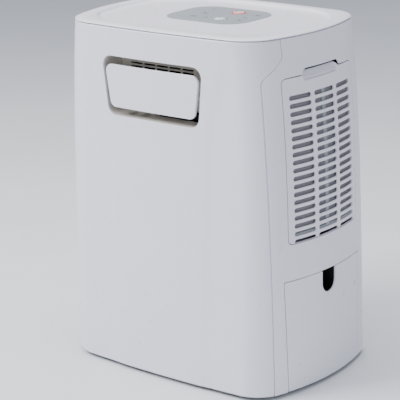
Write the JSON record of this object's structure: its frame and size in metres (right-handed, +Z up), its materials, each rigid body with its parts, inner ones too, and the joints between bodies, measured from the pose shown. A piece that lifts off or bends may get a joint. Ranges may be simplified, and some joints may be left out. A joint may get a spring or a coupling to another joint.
{
  "type": "dehumidifier",
  "caption": "Portable compressor dehumidifier with tilting air outlet, tip-out filter panel and slide-out water tank.",
  "frame": {"origin": "on the floor under the middle of the body", "axes": "+Z up, the air outlet faces -Y, the filter panel and the water tank face +X"},
  "size_m": [0.4589, 0.317, 0.571],
  "materials": {
    "white_shell": "satin moulded",
    "white_inner": "matte moulded",
    "panel_grey": "satin film",
    "key_red": "satin",
    "key_white": "satin",
    "lens": "translucent",
    "circuit_board": "solder resist",
    "outlet_beige": "matte moulded",
    "steel": "zinc plated",
    "mesh_grey": "woven nylon",
    "black_plastic": "matte moulded",
    "tank_clear": "translucent moulded",
    "float_foam": "closed-cell foam",
    "pan_steel": "powder coated",
    "rubber": "matte",
    "aluminium": "mill finish",
    "copper": "drawn copper",
    "black_paint": "gloss enamel",
    "motor_paint": "pressed steel can"
  },
  "bodies": {
    "housing": {"front_cover": "white_shell", "rear_housing": "white_shell", "top_cover": "white_shell", "control_panel": "panel_grey", "display_board": "circuit_board", "indicator_lenses": "lens", "outlet_frame": "outlet_beige", "outlet_grille": "outlet_beige", "flap_pins": "steel", "float_switch": "black_plastic", "tank_bay": "white_inner", "base_pan": "pan_steel", "foot_front_left": "rubber", "foot_front_right": "rubber", "foot_rear_left": "rubber", "foot_rear_right": "rubber", "drip_tray": "white_inner", "evaporator_fins": "aluminium", "evaporator_tubes": "copper", "condenser_fins": "aluminium", "condenser_tubes": "copper", "coil_end_plates": "steel", "compressor": "black_paint", "accumulator": "black_paint", "compressor_grommets": "rubber", "compressor_bolts": "steel", "discharge_pipe": "copper", "suction_pipe": "copper", "capillary_tube": "copper", "fan_scroll": "black_plastic", "fan_inlet_ring": "black_plastic", "fan_motor": "motor_paint", "motor_screws": "steel", "control_box": "white_inner", "run_capacitor": "white_inner", "drain_spigot": "white_shell", "drain_plug": "rubber", "cord_inlet": "rubber", "shell_screws": "steel"},
    "flap": {"outlet_flap": "white_shell"},
    "filter_door": {"filter_panel": "white_shell", "filter_frame": "panel_grey", "filter_mesh": "mesh_grey"},
    "tank": {"tank_front": "white_shell", "tank_brackets": "white_inner", "tank_grip": "black_plastic", "water_tank": "tank_clear", "tank_lid": "white_inner", "float_pin": "steel"},
    "float": {"tank_float": "float_foam"},
    "fan": {"fan_impeller": "black_plastic", "motor_shaft": "steel"},
    "power_key": {"power_button": "key_red"},
    "speed_key": {"speed_button": "key_white"},
    "timer_key": {"timer_button": "panel_grey"},
    "mode_key": {"mode_button": "panel_grey"},
    "up_key": {"up_button": "panel_grey"},
    "down_key": {"down_button": "panel_grey"}
  },
  "joints": [
    {"name": "flap_tilt", "type": "hinge", "parent": "housing", "child": "flap", "pos_m": [-0.006, -0.13347, 0.473], "axis": [1, 0, 0], "range_deg": [-30, 60]},
    {"name": "filter_door_tilt", "type": "hinge", "parent": "housing", "child": "filter_door", "pos_m": [0.229, -0.0065, 0.249], "axis": [0, 1, 0], "range_deg": [0, 30]},
    {"name": "tank_slide", "type": "slide", "parent": "housing", "child": "tank", "axis": [1, 0, 0], "range_m": [0, 0.22]},
    {"name": "float_tilt", "type": "hinge", "parent": "tank", "child": "float", "pos_m": [0.061, -0.0065, 0.1395], "axis": [0, -1, 0], "range_deg": [0, 16]},
    {"name": "fan_spin", "type": "hinge", "parent": "housing", "child": "fan", "pos_m": [-0.022, 0.02, 0.4], "axis": [1, 0, 0], "continuous": true},
    {"name": "power_press", "type": "slide", "parent": "housing", "child": "power_key", "axis": [0, 0, -1], "range_m": [0, 0.0006], "stiffness_N_per_m": 400, "springref_m": -0.001},
    {"name": "speed_press", "type": "slide", "parent": "housing", "child": "speed_key", "axis": [0, 0, -1], "range_m": [0, 0.0006], "stiffness_N_per_m": 400, "springref_m": -0.001},
    {"name": "timer_press", "type": "slide", "parent": "housing", "child": "timer_key", "axis": [0, 0, -1], "range_m": [0, 0.0006], "stiffness_N_per_m": 400, "springref_m": -0.001},
    {"name": "mode_press", "type": "slide", "parent": "housing", "child": "mode_key", "axis": [0, 0, -1], "range_m": [0, 0.0006], "stiffness_N_per_m": 400, "springref_m": -0.001},
    {"name": "up_press", "type": "slide", "parent": "housing", "child": "up_key", "axis": [0, 0, -1], "range_m": [0, 0.0006], "stiffness_N_per_m": 400, "springref_m": -0.001},
    {"name": "down_press", "type": "slide", "parent": "housing", "child": "down_key", "axis": [0, 0, -1], "range_m": [0, 0.0006], "stiffness_N_per_m": 400, "springref_m": -0.001}
  ]
}
